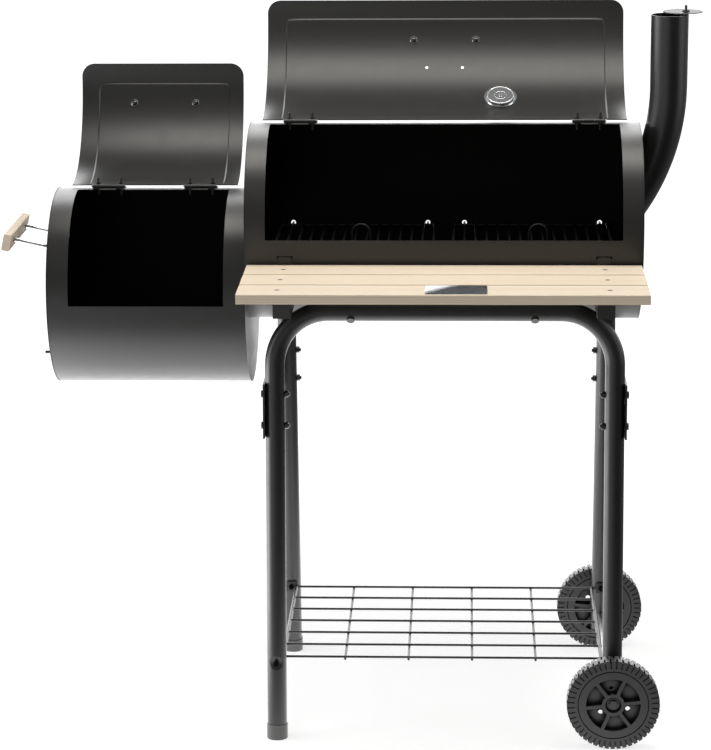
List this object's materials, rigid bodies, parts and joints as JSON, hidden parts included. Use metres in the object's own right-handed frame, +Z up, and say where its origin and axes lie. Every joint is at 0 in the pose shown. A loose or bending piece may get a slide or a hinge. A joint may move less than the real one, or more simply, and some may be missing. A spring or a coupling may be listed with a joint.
{
  "type": "offset smoker",
  "caption": "Offset charcoal smoker: lidded cooking barrel with side firebox, bent chimney, slatted front table and wheeled tube stand.",
  "frame": {"origin": "on the ground, under the middle of the whole smoker's box", "axes": "+Z up, +X from the firebox to the chimney, -Y towards the table and the cook"},
  "size_m": [1.1346, 0.6406, 1.1735],
  "materials": {
    "black_coat": "satin heat-proof coat",
    "black_oxide": "black finished screws",
    "grate_wire": "satin enamel on wire",
    "pine": "planed, unvarnished",
    "chrome": "bright",
    "galvanised": "bright zinc",
    "zinc": "dull zinc",
    "wheel_plastic": "moulded",
    "cap_plastic": "moulded",
    "foot_plastic": "moulded",
    "dial_white": "printed dial",
    "dial_glass": "clear",
    "needle_red": "gloss"
  },
  "bodies": {
    "root": {"main_barrel": "black_coat", "main_end_left": "black_coat", "main_end_right": "black_coat", "firebox_barrel": "black_coat", "firebox_end_left": "black_coat", "firebox_end_right": "black_coat", "end_plate_bolts": "black_oxide", "chimney": "black_coat", "damper_stud": "black_oxide", "air_damper_bolt": "black_oxide", "hinge_fixed_leaves": "black_coat", "hinge_pins": "zinc", "hinge_bolts": "black_oxide", "side_grip": "pine", "side_rods": "chrome", "table_slats": "pine", "table_brackets": "black_coat", "table_screws": "zinc", "table_plate": "galvanised", "leg_frame_front_left": "black_coat", "leg_frame_front_right": "black_coat", "leg_frame_rear_left": "black_coat", "leg_frame_rear_right": "black_coat", "frame_sleeves": "zinc", "frame_spacers": "black_oxide", "frame_bolts": "black_oxide", "side_braces": "black_coat", "brace_bolts": "black_oxide", "foot_caps": "foot_plastic", "leg_end_caps": "cap_plastic", "bottom_shelf": "grate_wire", "shelf_screws": "black_oxide", "axle": "zinc", "axle_nuts": "cap_plastic"},
    "chimney_damper": {"chimney_damper": "galvanised"},
    "air_damper": {"air_damper": "black_coat"},
    "main_lid": {"main_lid": "black_coat", "main_lid_leaves": "black_coat", "main_lid_bolts": "black_oxide", "main_lid_grip": "pine", "main_lid_rods": "chrome", "thermometer_case": "galvanised", "thermometer_ring": "galvanised", "thermometer_dial": "dial_white", "thermometer_glass": "dial_glass", "lid_plate": "galvanised", "lid_plate_rivets": "galvanised"},
    "firebox_lid": {"firebox_lid": "black_coat", "firebox_lid_leaves": "black_coat", "firebox_lid_bolts": "black_oxide", "firebox_lid_grip": "pine", "firebox_lid_rods": "chrome"},
    "thermometer_needle": {"thermometer_needle": "needle_red"},
    "cooking_grate_left": {"cooking_grate_left": "grate_wire"},
    "cooking_grate_right": {"cooking_grate_right": "grate_wire"},
    "charcoal_grate": {"charcoal_grate": "grate_wire"},
    "firebox_grate": {"firebox_grate": "grate_wire"},
    "wheel_front": {"wheel_front": "wheel_plastic"},
    "wheel_rear": {"wheel_rear": "wheel_plastic"}
  },
  "joints": [
    {"name": "main_lid_hinge", "type": "hinge", "parent": "root", "child": "main_lid", "pos_m": [0.15042, 0.07509, 0.9848], "axis": [1, 0, 0], "range_deg": [0, 177]},
    {"name": "firebox_lid_hinge", "type": "hinge", "parent": "root", "child": "firebox_lid", "pos_m": [-0.32708, 0.07509, 0.8768], "axis": [1, 0, 0], "range_deg": [0, 176]},
    {"name": "chimney_damper_swivel", "type": "hinge", "parent": "root", "child": "chimney_damper", "pos_m": [0.53832, 0.06371, 1.1599], "axis": [0, 0, 1], "continuous": true},
    {"name": "air_damper_turn", "type": "hinge", "parent": "root", "child": "air_damper", "pos_m": [-0.48773, 0.06371, 0.632], "axis": [-1, 0, 0], "continuous": true},
    {"name": "thermometer_needle_turn", "type": "hinge", "parent": "main_lid", "child": "thermometer_needle", "pos_m": [0.24252, 0.16114, 1.00387], "axis": [0, 0.5, -0.866], "range_deg": [-270, 0], "stiffness_Nm_per_rad": 0.0005},
    {"name": "cooking_grate_left_tilt", "type": "hinge", "parent": "root", "child": "cooking_grate_left", "pos_m": [0.00342, 0.21959, 0.7887], "axis": [-1, 0, 0], "range_deg": [0, 20]},
    {"name": "cooking_grate_right_tilt", "type": "hinge", "parent": "root", "child": "cooking_grate_right", "pos_m": [0.29442, 0.21959, 0.7887], "axis": [-1, 0, 0], "range_deg": [0, 20]},
    {"name": "charcoal_grate_lift", "type": "slide", "parent": "root", "child": "charcoal_grate", "axis": [0, 0, 1], "range_m": [0, 0.009]},
    {"name": "firebox_grate_lift", "type": "slide", "parent": "root", "child": "firebox_grate", "axis": [0, 0, 1], "range_m": [0, 0.165]},
    {"name": "wheel_front_spin", "type": "hinge", "parent": "root", "child": "wheel_front", "pos_m": [0.42582, -0.17987, 0.075], "axis": [0, 1, 0], "continuous": true},
    {"name": "wheel_rear_spin", "type": "hinge", "parent": "root", "child": "wheel_rear", "pos_m": [0.42582, 0.30729, 0.075], "axis": [0, 1, 0], "continuous": true}
  ]
}
